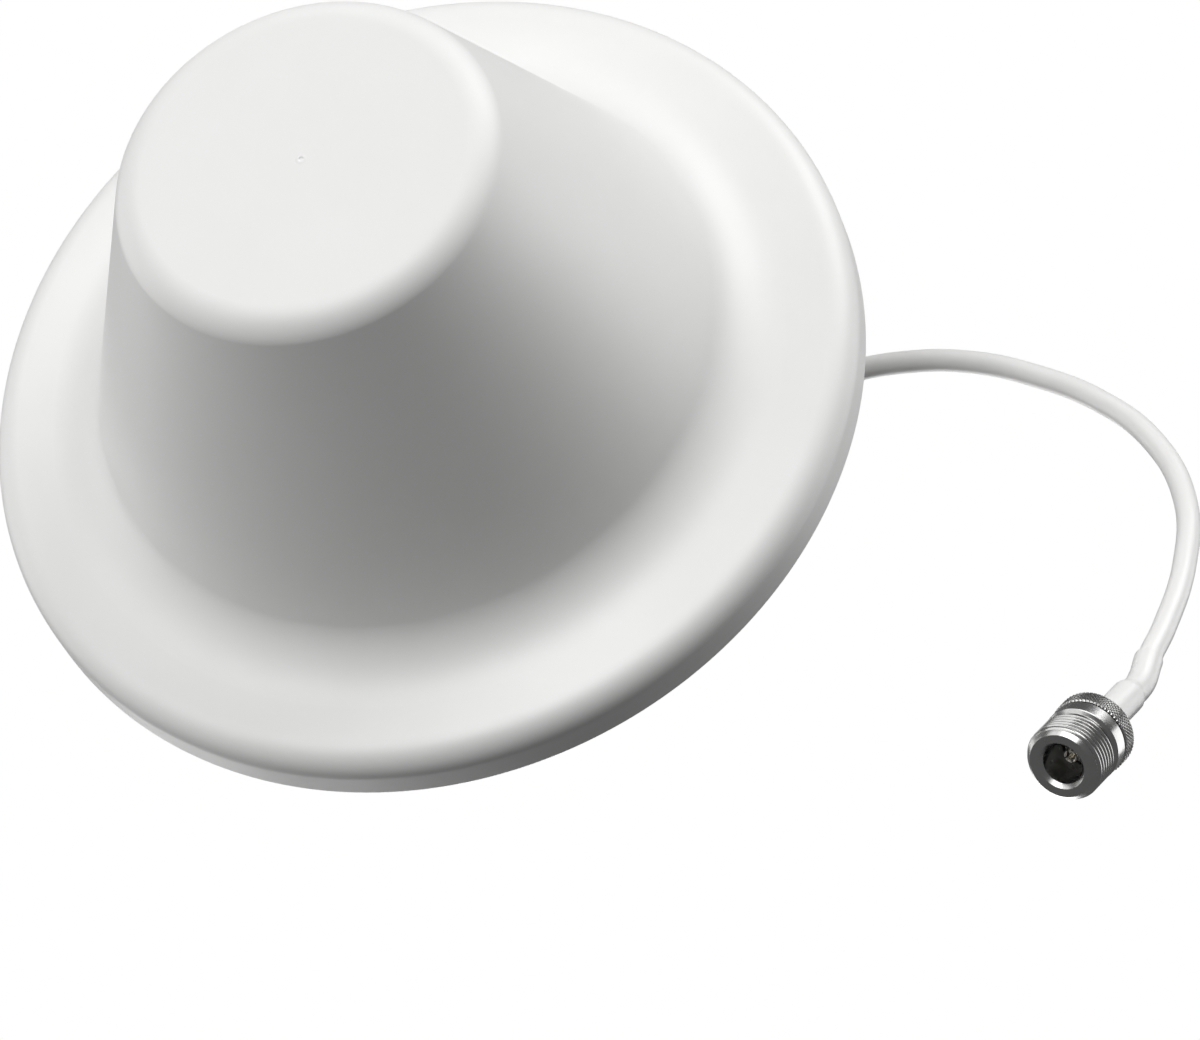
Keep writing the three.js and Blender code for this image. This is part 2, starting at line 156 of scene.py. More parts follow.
def noise(tree: NodeTree, coordinates: NodeSocket, size_mm: float, detail: float) -> NodeSocket:
    """A cloudy pattern with features of a size in millimetres.

    Args:
        tree: the node tree.
        coordinates: where it is looked up.
        size_mm: how large its features are.
        detail: how many finer layers it has.

    Returns:
        The pattern's output.
    """
    values = {"Vector": coordinates, "Scale": 1 / (size_mm * MM), "Detail": detail}
    return add_node(tree, "TexNoise", values).outputs[0]


@dataclass(frozen=True)
class Finish:
    """What every finish holds: its name, its colour and how rough it is."""

    name: str
    colour: str
    roughness: float

    def begin(self) -> tuple[Material, NodeTree, Node, NodeSocket]:
        """Starts a material.

        Returns:
            The material, its tree, its shader and the Object coordinates.
        """
        made = bpy.data.materials.new(self.name)
        made.use_nodes = True
        tree = made.node_tree
        tree.nodes.clear()
        shader = add_node(tree, "BsdfPrincipled")
        add_node(tree, "OutputMaterial", {"Surface": shader.outputs["BSDF"]})
        shader.inputs["Base Color"].default_value = linear(self.colour)
        shader.inputs["Roughness"].default_value = self.roughness
        coordinates = add_node(tree, "TexCoord").outputs["Object"]
        return made, tree, shader, coordinates

    def tinted(self, tree: NodeTree, shader: Node, share: NodeSocket, shade: str) -> None:
        """Leans the base colour to a shade by a share, from 0 for the colour to 1 for the shade."""
        values = {0: share, 6: linear(self.colour), 7: linear(shade)}
        mixed = add_node(tree, "Mix", values, data_type="RGBA").outputs[2]
        tree.links.new(mixed, shader.inputs["Base Color"])

    def embossed(self, tree: NodeTree, shader: Node, height: NodeSocket, depth_mm: float) -> None:
        """Raises a fine relief on the surface, with a depth in millimetres."""
        bump = add_node(tree, "Bump", {"Height": height, "Distance": depth_mm * MM, "Strength": 1.0})
        tree.links.new(bump.outputs[0], shader.inputs["Normal"])


@dataclass(frozen=True)
class Moulded(Finish):
    """A moulded or extruded plastic: fine skin grain, slow clouds in colour and gloss, and specks of dust.

    shade is the colour that the clouds and specks lean to. Sizes are millimetres.
    """

    shade: str
    ior: float
    grain_mm: float
    grain_depth_mm: float
    cloud_mm: float = 28.0
    speck_spacing_mm: float = 16.0
    speck_mm: float = 0.22
    speck_weight: float = 0.35
    cloud_weight: float = 0.12
    gloss_change: float = 0.03

    def make(self) -> Material:
        """Builds the material."""
        made, tree, shader, coordinates = self.begin()
        shader.inputs["IOR"].default_value = self.ior
        clouds = noise(tree, coordinates, self.cloud_mm, 3.0)
        specks = add_node(
            tree, "TexVoronoi", {"Vector": coordinates, "Scale": 1 / (self.speck_spacing_mm * MM)}
        ).outputs["Distance"]
        speck_size = self.speck_mm / self.speck_spacing_mm
        speck = remap(tree, specks, (speck_size * 0.5, speck_size), (self.speck_weight, 0.0))
        cloud = remap(tree, clouds, (0.3, 0.7), (0.0, self.cloud_weight))
        share = add_node(tree, "Math", {0: cloud, 1: speck}, operation="MAXIMUM").outputs[0]
        self.tinted(tree, shader, share, self.shade)
        gloss_range = (self.roughness - self.gloss_change, self.roughness + self.gloss_change)
        gloss = remap(tree, clouds, (0.3, 0.7), gloss_range)
        tree.links.new(gloss, shader.inputs["Roughness"])
        grain = noise(tree, coordinates, self.grain_mm, 2.0)
        self.embossed(tree, shader, grain, self.grain_depth_mm)
        return made


@dataclass(frozen=True)
class TurnedMetal(Finish):
    """A plated metal turned on a lathe: fine rings round one axis, a faint haze, and tarnish in patches.

    place is the matrix from the axis's own frame to the object's, with the axis along its Z. Sizes are
    millimetres.
    """

    tarnish: str
    ring_mm: float
    ring_depth_mm: float
    patch_mm: float
    place: Matrix

    def make(self) -> Material:
        """Builds the material."""
        made, tree, shader, coordinates = self.begin()
        shader.inputs["Metallic"].default_value = 1.0
        local = add_node(
            tree,
            "Mapping",
            {
                "Vector": coordinates,
                "Location": self.place.to_translation(),
                "Rotation": self.place.to_euler(),
            },
            vector_type="TEXTURE",
        ).outputs[0]
        along = add_node(tree, "SeparateXYZ", {0: local}).outputs["Z"]
        rings = add_node(
            tree,
            "TexNoise",
            {"W": along, "Scale": 1 / (self.ring_mm * MM), "Detail": 2.0},
            noise_dimensions="1D",
        ).outputs[0]
        patches = noise(tree, coordinates, self.patch_mm, 4.0)
        self.tinted(tree, shader, remap(tree, patches, (0.45, 0.8), (0.0, 0.5)), self.tarnish)
        haze = remap(tree, patches, (0.35, 0.75), (self.roughness * 0.8, self.roughness * 1.35))
        tree.links.new(haze, shader.inputs["Roughness"])
        self.embossed(tree, shader, rings, self.ring_depth_mm)
        return made


@dataclass(frozen=True)
class RolledSheet(Finish):
    """Sheet or drawn metal: long streaks in one direction, with spots of duller plate. Millimetres."""

    dull: str
    streak_mm: float
    streak_length_mm: float
    streak_depth_mm: float
    spot_mm: float

    def make(self) -> Material:
        """Builds the material."""
        made, tree, shader, coordinates = self.begin()
        shader.inputs["Metallic"].default_value = 1.0
        across, along = 1 / (self.streak_mm * MM), 1 / (self.streak_length_mm * MM)
        scale = (along, across, across)
        drawn = add_node(tree, "Mapping", {"Vector": coordinates, "Scale": scale}).outputs[0]
        streaks = add_node(tree, "TexNoise", {"Vector": drawn, "Scale": 1.0, "Detail": 3.0}).outputs[0]
        spots = noise(tree, coordinates, self.spot_mm, 4.0)
        self.tinted(tree, shader, remap(tree, spots, (0.4, 0.75), (0.0, 0.6)), self.dull)
        haze = remap(tree, streaks, (0.3, 0.7), (self.roughness * 0.75, self.roughness * 1.25))
        tree.links.new(haze, shader.inputs["Roughness"])
        self.embossed(tree, shader, streaks, self.streak_depth_mm)
        return made


@dataclass(frozen=True)
class PaintedFloor(Finish):
    """A matt, pale studio floor, evenly lit, with a faint roller texture."""

    shade: str
    glow: float
    roller_mm: float

    def make(self) -> Material:
        """Builds the material."""
        made, tree, shader, coordinates = self.begin()
        roller = noise(tree, coordinates, self.roller_mm, 2.0)
        self.tinted(tree, shader, remap(tree, roller, (0.3, 0.7), (0.0, 0.25)), self.shade)
        shader.inputs["Emission Color"].default_value = linear(self.colour)
        shader.inputs["Emission Strength"].default_value = self.glow
        return made


# ---------------------------------------------------------------- mesh helpers


def round_corner(bm: bmesh.types.BMesh, point: bmesh.types.BMVert, fillet: float, steps: int) -> None:
    """Rounds one corner of an outline.

    Args:
        bm: the mesh that holds the outline.
        point: the corner, between two edges.
        fillet: the radius to round it to.
        steps: how many straight steps the round has.
    """
    first, second = (edge.other_vert(point).co - point.co for edge in point.link_edges)
    turn = math.pi - first.angle(second)
    bmesh.ops.bevel(
        bm,
        geom=[point],
        offset=fillet * math.tan(turn / 2),
        offset_type="OFFSET",
        segments=steps,
        profile=0.5,
        affect="VERTICES",
        clamp_overlap=False,
        material=-1,
    )


def turned(
    bm: bmesh.types.BMesh, corners: list[Corner], steps: int, closed: bool = False, fillet_steps: int = 5
) -> list[bmesh.types.BMVert]:
    """Turns an outline about Z.

    Args:
        bm: the mesh to add to.
        corners: the outline. An open one starts and ends on the axis.
        steps: how many steps make the whole turn.
        closed: True for an outline that joins its own start, as a ring's section does.
        fillet_steps: how many steps each fillet has.

    Returns:
        The new vertices.
    """
    part = bmesh.new()
    points = [part.verts.new((radius, 0.0, height)) for radius, height, _ in corners]
    pairs = list(zip(points, points[1:]))
    if closed:
        pairs.append((points[-1], points[0]))
    for pair in pairs:
        part.edges.new(pair)
    for point, (_, _, fillet) in zip(points, corners):
        if fillet > 0:
            round_corner(part, point, fillet, fillet_steps)
    copies = math.gcd(steps, MOST_SECTORS)
    angle = TAU / copies
    bmesh.ops.spin(
        part,
        geom=part.verts[:] + part.edges[:],
        cent=(0, 0, 0),
        axis=(0, 0, 1),
        angle=angle,
        steps=steps // copies,
        use_merge=False,
        use_duplicate=False,
    )
    while copies > 1:
        whole = part.verts[:] + part.edges[:] + part.faces[:]
        copied = bmesh.ops.duplicate(part, geom=whole)["geom"]
        verts = [item for item in copied if isinstance(item, bmesh.types.BMVert)]
        bmesh.ops.rotate(part, cent=(0, 0, 0), matrix=Matrix.Rotation(angle, 3, "Z"), verts=verts)
        angle *= 2
        copies //= 2
    return pour(bm, part)


def pour(bm: bmesh.types.BMesh, part: bmesh.types.BMesh) -> list[bmesh.types.BMVert]:
    """Adds one mesh to another, with its doubles merged.

    Args:
        bm: the mesh to add to.
        part: the mesh to add. It is freed.

    Returns:
        The vertices that were added.
    """
    bmesh.ops.remove_doubles(part, verts=part.verts, dist=WELD_MM)
    before = len(bm.verts)
    mesh = bpy.data.meshes.new("part")
    part.to_mesh(mesh)
    part.free()
    bm.from_mesh(mesh)
    bpy.data.meshes.remove(mesh)
    bm.verts.ensure_lookup_table()
    return bm.verts[before:]


def move(bm: bmesh.types.BMesh, verts: list[bmesh.types.BMVert], matrix: Matrix) -> None:
    """Moves some vertices by a matrix."""
    bmesh.ops.transform(bm, matrix=matrix, verts=verts)


def around(radius: float, angle: float) -> Matrix:
    """The matrix that takes a shape out to a circle and turns it to an angle about Z."""
    return Matrix.Rotation(angle, 4, "Z") @ Matrix.Translation((radius, 0, 0))


def thread_ridge(
    bm: bmesh.types.BMesh,
    section: list[tuple[float, float]],
    start: float,
    pitch: float,
    turns: float,
    root: float,
    steps: int = 72,
    fade_turns: float = 0.35,
) -> None:
    """Adds the ridge of a right-handed screw thread, which fades into its root at both ends.

    Args:
        bm: the mesh to add to.
        section: the ridge's own section, as radius and height about its middle.
        start: the height of its middle where it starts.
        pitch: how far it climbs in a turn.
        turns: how many turns it has.
        root: the radius that it fades into.
        steps: how many steps each turn has.
        fade_turns: how much of a turn it takes to fade.
    """
    part = bmesh.new()
    points = [part.verts.new((radius, 0.0, start + height)) for radius, height in section]
    edges = [part.edges.new(pair) for pair in zip(points, points[1:] + points[:1])]
    chunk = steps // CHUNKS_A_TURN
    bmesh.ops.spin(
        part,
        geom=points + edges,
        cent=(0, 0, 0),
        axis=(0, 0, 1),
        dvec=(0, 0, pitch / steps),
        angle=TAU / CHUNKS_A_TURN,
        steps=chunk,
        use_merge=False,
        use_duplicate=False,
    )
    first = part.verts[:] + part.edges[:] + part.faces[:]
    chunks = round(turns * CHUNKS_A_TURN)
    for i in range(1, chunks):
        copied = bmesh.ops.duplicate(part, geom=first)["geom"]
        verts = [item for item in copied if isinstance(item, bmesh.types.BMVert)]
        share = i / CHUNKS_A_TURN
        move(part, verts, Matrix.Translation((0, 0, pitch * share)) @ Matrix.Rotation(TAU * share, 4, "Z"))
    bmesh.ops.remove_doubles(part, verts=part.verts, dist=WELD_MM)
    bmesh.ops.holes_fill(part, edges=[edge for edge in part.edges if edge.is_boundary], sides=0)
    whole_turns = chunks / CHUNKS_A_TURN
    for vert in part.verts:
        share = (math.atan2(vert.co.y, vert.co.x) % TAU) / TAU
        climbed = share + round((vert.co.z - start) / pitch - share)
        fade = min(1.0, max(0.0, min(climbed, whole_turns - climbed) / fade_turns))
        radius = math.hypot(vert.co.x, vert.co.y)
        wanted = root + (radius - root) * fade
        vert.co.x *= wanted / radius
        vert.co.y *= wanted / radius
    pour(bm, part)


def soften(bm: bmesh.types.BMesh, size: float, degrees: float = 35.0, segments: int = 2) -> None:
    """Bevels every edge that is sharper than an angle.

    Args:
        bm: the mesh.
        size: the bevel's width in millimetres.
        degrees: how far two faces turn at an edge before it is bevelled.
        segments: the bevel's steps.
    """
    limit = math.radians(degrees)
    sharp = [edge for edge in bm.edges if edge.is_manifold and edge.calc_face_angle(0.0) > limit]
    bmesh.ops.bevel(
        bm,
        geom=sharp,
        offset=size,
        offset_type="OFFSET",
        segments=segments,
        profile=0.5,
        affect="EDGES",
        clamp_overlap=True,
        material=-1,
    )


def tidy(bm: bmesh.types.BMesh) -> None:
    """Merges doubles, then turns every face outwards."""
    bmesh.ops.remove_doubles(bm, verts=bm.verts, dist=WELD_MM)
    bmesh.ops.dissolve_degenerate(bm, edges=bm.edges, dist=WELD_MM)
    bmesh.ops.recalc_face_normals(bm, faces=bm.faces)


def combine(body: bmesh.types.BMesh, tool: bmesh.types.BMesh, operation: str) -> bmesh.types.BMesh:
    """Cuts one solid with another, with the exact solver.

    Args:
        body: the solid that is kept. It is freed.
        tool: the solid that cuts it. It is freed.
        operation: DIFFERENCE or INTERSECT.

    Returns:
        A new mesh with the result.
    """
    holders = []
    for source in (body, tool):
        tidy(source)
        mesh = bpy.data.meshes.new("cut")
        source.to_mesh(mesh)
        source.free()
        holder = bpy.data.objects.new("cut", mesh)
        bpy.context.scene.collection.objects.link(holder)
        holders.append(holder)
    cut = holders[0].modifiers.new("cut", "BOOLEAN")
    cut.object = holders[1]
    cut.operation = operation
    cut.solver = "EXACT"
    shown = holders[0].evaluated_get(bpy.context.evaluated_depsgraph_get())
    result_mesh = bpy.data.meshes.new_from_object(shown)
    result = bmesh.new()
    result.from_mesh(result_mesh)
    bpy.data.meshes.remove(result_mesh)
    for holder in holders:
        mesh = holder.data
        bpy.data.objects.remove(holder)
        bpy.data.meshes.remove(mesh)
    return result


def settle(
    piece: Object, finish: Material, body: Body, stands_for: tuple[str, ...] = ()
) -> Object:
    """Dresses a piece, hangs it on the body that it rides on, and hides the CAD nodes that it stands for.

    Args:
        piece: the new object, at the origin and linked to the scene.
        finish: its material.
        body: the body that it rides on.
        stands_for: the CAD nodes that it replaces.

    Returns:
        The same object.
    """
    piece.data.materials.append(finish)
    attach(piece, body.value)
    if stands_for:
        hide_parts(*stands_for)
    LOG.info("built %s on %s", piece.name, body.value)
    return piece


def new_piece(
    name: str,
    bm: bmesh.types.BMesh,
    finish: Material,
    body: Body,
    stands_for: tuple[str, ...] = (),
    place: Matrix | None = None,
) -> Object:
    """Turns a mesh in millimetres into a finished piece.

    Args:
        name: the piece's name.
        bm: its mesh, in millimetres. It is freed.
        finish: its material.
        body: the body that it rides on.
        stands_for: the CAD nodes that it replaces.
        place: the matrix in millimetres from the mesh's frame to the part's.

    Returns:
        The new object.
    """
    tidy(bm)
    bmesh.ops.transform(bm, matrix=Matrix.Scale(MM, 4) @ (place or Matrix.Identity(4)), verts=bm.verts)
    mesh = bpy.data.meshes.new(name)
    bm.to_mesh(mesh)
    bm.free()
    mesh.shade_smooth()
    mesh.set_sharp_from_angle(angle=math.radians(SHARP_DEGREES))
    piece = bpy.data.objects.new(name, mesh)
    bpy.context.scene.collection.objects.link(piece)
    weighted = piece.modifiers.new("face_weights", "WEIGHTED_NORMAL")
    weighted.keep_sharp = True
    return settle(piece, finish, body, stands_for)


def dress(node: str, finish: Material) -> None:
    """Gives a carried-over CAD node its material."""
    piece = frame["nodes"][node]
    for holder in piece.material_slots:
        holder.material = finish
    LOG.info("dressed %s", node)


def spline_object(
    name: str, points: list[Vector], radii: list[float], width: float, smooth_steps: int
) -> Object:
    """Makes a round bar along one smooth curve.

    Args:
        name: the object's name.
        points: the curve's points, in metres.
        radii: each point's share of the width.
        width: the bar's radius in metres where the share is 1.
        smooth_steps: how many steps run between two points, or 0 to join them straight.

    Returns:
        A curve object, linked to the scene.
    """
    curve = bpy.data.curves.new(name, "CURVE")
    curve.dimensions = "3D"
    curve.bevel_depth = width
    curve.bevel_resolution = 8
    curve.use_fill_caps = True
    if smooth_steps:
        curve.resolution_u = smooth_steps
        spline = curve.splines.new("BEZIER")
        spline.bezier_points.add(len(points) - 1)
        for knot, point, radius in zip(spline.bezier_points, points, radii):
            knot.co = point
            knot.radius = radius
            knot.handle_left_type = "AUTO"
            knot.handle_right_type = "AUTO"
    else:
        spline = curve.splines.new("POLY")
        spline.points.add(len(points) - 1)
        for corner, point, radius in zip(spline.points, points, radii):
            corner.co = (*point, 1.0)
            corner.radius = radius
    piece = bpy.data.objects.new(name, curve)
    bpy.context.scene.collection.objects.link(piece)
    return piece


# ---------------------------------------------------------------- camera, light and floor


@dataclass
class Viewpoint:
    """The camera. It looks up at the dome from below and in front, in metres."""

    location: Vector
    below_degrees: float
    roll_degrees: float
    lens_mm: float
    sensor_mm: float = 36.0

    def __post_init__(self) -> None:
        """Works out the view's right, up and back from its angles."""
        below, roll = math.radians(self.below_degrees), math.radians(self.roll_degrees)
        level = Vector((1, 0, 0))
        self.back = Vector((0, -math.cos(below), -math.sin(below)))
        upright = self.back.cross(level)
        self.right = level * math.cos(roll) + upright * math.sin(roll)
        self.up = upright * math.cos(roll) - level * math.sin(roll)

    def build(self) -> Object:
        """Makes the scene's camera."""
        data = bpy.data.cameras.new("viewpoint")
        data.lens = self.lens_mm
        data.sensor_width = self.sensor_mm
        data.sensor_fit = "HORIZONTAL"
        camera = bpy.data.objects.new("viewpoint", data)
        turned_to = Matrix((self.right, self.up, self.back)).transposed().to_4x4()
        camera.matrix_world = Matrix.Translation(self.location) @ turned_to
        bpy.context.scene.collection.objects.link(camera)
        bpy.context.scene.camera = camera
        LOG.info("built the viewpoint")
        return camera

    def direction(self, right: float, up: float, back: float) -> Vector:
        """A direction in the part's frame, from its shares along the view's right, up and back."""
        return (self.right * right + self.up * up + self.back * back).normalized()


@dataclass(frozen=True)
class Softbox:
    """A round soft light: its direction from the antenna by the view's right, up and back, and its power."""

    name: str
    right: float
    up: float
    back: float
    watts: float
    across_m: float = 1.7
    distance_m: float = 2.2


@dataclass
class Studio:
    """A pale studio: round softboxes, a dim surround that shows white, and a floor far below."""

    view: Viewpoint
    boxes: tuple[Softbox, ...]
    middle: Vector
    surround: float = 0.035
    reflected: float = 0.18
    floor_height_m: float = -2.7
    floor_radius_m: float = 12.0

    def build(self) -> None:
        """Makes the lights, the surround and the floor."""
        for box in self.boxes:
            self.light(box)
        self.world()
        self.floor()
        bpy.context.scene.view_settings.view_transform = "Standard"

    def light(self, box: Softbox) -> None:
        """Makes one softbox, which the camera doesn't see."""
        data = bpy.data.lights.new(box.name, "AREA")
        data.shape = "DISK"
        data.size = box.across_m
        data.energy = box.watts
        light = bpy.data.objects.new(box.name, data)
        towards = self.view.direction(box.right, box.up, box.back)
        light.location = self.middle + towards * box.distance_m
        light.rotation_euler = towards.to_track_quat("Z", "Y").to_euler()
        light.visible_camera = False
        bpy.context.scene.collection.objects.link(light)
        LOG.info("built %s", box.name)

    def world(self) -> None:
        """Makes the surround: white to the camera, dim to the antenna."""
        world = bpy.data.worlds.new("surround")
        bpy.context.scene.world = world
        world.use_nodes = True
        tree = world.node_tree
        tree.nodes.clear()
        path = add_node(tree, "LightPath")
        dim = add_node(tree, "Background", {"Color": (1, 1, 1, 1), "Strength": self.surround})
        mirror = add_node(tree, "Background", {"Color": (1, 1, 1, 1), "Strength": self.reflected})
        white = add_node(tree, "Background", {"Color": (1, 1, 1, 1), "Strength": 1.0})
        glossy, camera = path.outputs["Is Glossy Ray"], path.outputs["Is Camera Ray"]
        lit = add_node(tree, "MixShader", {0: glossy, 1: dim.outputs[0], 2: mirror.outputs[0]})
        seen = add_node(tree, "MixShader", {0: camera, 1: lit.outputs[0], 2: white.outputs[0]})
        add_node(tree, "OutputWorld", {"Surface": seen.outputs[0]})
        LOG.info("built the surround")

    def floor(self) -> None:
        """Makes the floor. It is far below, so that it neither shades nor lights the antenna."""
        bm = bmesh.new()
        bmesh.ops.create_circle(bm, cap_ends=True, radius=self.floor_radius_m, segments=96)
        move(bm, bm.verts, Matrix.Translation((0, 0, self.floor_height_m)))
        mesh = bpy.data.meshes.new("floor")
        bm.to_mesh(mesh)
        bm.free()
        floor = bpy.data.objects.new("floor", mesh)
        paint = PaintedFloor("matt_floor_paint", "#F4F4F2", 0.95, "#ECECEA", glow=0.8, roller_mm=6.0)
        floor.data.materials.append(paint.make())
        floor.visible_diffuse = False
        floor.visible_glossy = False
        bpy.context.scene.collection.objects.link(floor)
        LOG.info("built the floor")


# ---------------------------------------------------------------- pigtail and its socket

# The pigtail's centreline in metres, from the grommet's tip to the heat-shrink sleeve.
PIGTAIL_ROUTE = [
    Vector(point) * MM
    for point in (
        (0, 0, 46.3), (-0.2, 0, 51), (-1.5, 0.5, 56.5), (-4.5, 1, 62), (-9.5, 2, 67), (-15.5, 3.5, 70.5),
        (-23, 5, 73), (-37.5, 7, 76.5), (-52, 7.5, 76.5), (-67, 6.5, 74), (-81, 2.5, 70.5), (-94, -4.5, 67),
        (-106.5, -15.5, 62.5), (-116.5, -29, 58), (-125, -45.5, 52.5), (-129.5, -64.5, 45.5), (-128, -85, 38),
        (-120, -103.5, 29.5), (-109, -119, 21), (-103, -126, 16.5),
    )
]  # fmt: skip

SOCKET_FACE = Vector((-75.6, -151.2, -7.7))
SOCKET_NOSE = Vector((0.627, -0.527, -0.573)).normalized()


def socket_place(scale: float) -> Matrix:
    """The matrix from the socket's frame to the part's.

    Args:
        scale: 1 for millimetres, MM for metres.

    Returns:
        The matrix. Its Z runs back from the socket's front face.
    """
    turn = Vector((0, 0, 1)).rotation_difference(-SOCKET_NOSE)
    return Matrix.Translation(SOCKET_FACE * scale) @ turn.to_matrix().to_4x4()


@dataclass
class Pigtail:
    """The coax pigtail and the heat-shrink sleeve at its end."""

    jacket: Material
    shrink: Material
    radius_mm: float = 2.475
    length_m: float = 0.286
    exit_height_mm: float = 46.0
    hidden_start_mm: float = 39.0
    hidden_end_mm: float = 30.5
    sleeve_radius_mm: float = 3.5
    tail_radius_mm: float = 2.95
    sleeve_front_mm: float = 16.55
    shoulder_mm: float = 32.7
    sleeve_edge_mm: float = 0.35

    def socket_point(self, back_mm: float) -> Vector:
        """A point on the socket's axis, in metres, at a distance behind its face."""
        return socket_place(MM) @ Vector((0, 0, back_mm * MM))

    def cable(self) -> Object:
        """Makes the coax itself, from inside the grommet to inside the crimp."""
        inside_grommet = Vector((0, 0, self.hidden_start_mm)) * MM
        points = [
            inside_grommet,
            *PIGTAIL_ROUTE,
            self.socket_point(self.shoulder_mm + 4.0),
            self.socket_point(self.hidden_end_mm),
        ]
        piece = spline_object("coax_cable", points, [1.0] * len(points), self.radius_mm * MM, 10)
        return settle(piece, self.jacket, Body.ANTENNA, ("coax_pigtail",))

    def sleeve_radius(self, back: float, left: float) -> float:
        """The sleeve's radius in millimetres.

        Args:
            back: the distance behind its front end.
            left: the distance left to its tail end.
        """
        shoulder = self.shoulder_mm - self.sleeve_front_mm
        share = min(1.0, max(0.0, (back - shoulder + 1.9) / 2.4))
        eased = share * share * (3 - 2 * share)
        radius = self.sleeve_radius_mm + (self.tail_radius_mm - self.sleeve_radius_mm) * eased
        short = max(0.0, self.sleeve_edge_mm - min(back, left))
        return radius - self.sleeve_edge_mm + math.sqrt(self.sleeve_edge_mm**2 - short**2)

    def sleeve(self, cable: Object) -> Object:
        """Makes the shrunk sleeve: wide over the crimp, a soft shoulder, a tail that bends with the cable.

        Args:
            cable: the cable, whose curve the tail follows.
        """
        steps, tail_steps = 90, 49
        front, back = self.socket_point(self.sleeve_front_mm), self.socket_point(self.hidden_end_mm)
        points = [front.lerp(back, i / steps) for i in range(steps)]
        knots = cable.data.splines[0].bezier_points
        for last, before in ((knots[-1], knots[-2]), (knots[-2], knots[-3])):
            arc = interpolate_bezier(last.co, last.handle_left, before.handle_right, before.co, tail_steps)
            points += arc[:-1]
        points.append(knots[-3].co.copy())
        run = [0.0]
        for point, after in zip(points, points[1:]):
            run.append(run[-1] + (after - point).length / MM)
        wide = self.sleeve_radius_mm
        radii = [self.sleeve_radius(back, run[-1] - back) / wide for back in run]
        bar = spline_object("sleeve_bar", points, radii, wide * MM, 0)
        mesh = bpy.data.meshes.new_from_object(bar.evaluated_get(bpy.context.evaluated_depsgraph_get()))
        bm = bmesh.new()
        bm.from_mesh(mesh)
        bpy.data.meshes.remove(mesh)
        bpy.data.curves.remove(bar.data)
        bmesh.ops.scale(bm, vec=(1 / MM,) * 3, verts=bm.verts)
        return new_piece(
            "shrunk_sleeve", bm, self.shrink, Body.ANTENNA, ("heat_shrink_sleeve",)
        )

    def build(self, socket: list[Object]) -> None:
        """Args:
            socket: the socket's pieces. It is not used.
        """
        cable = self.cable()
        sleeve = self.sleeve(cable)


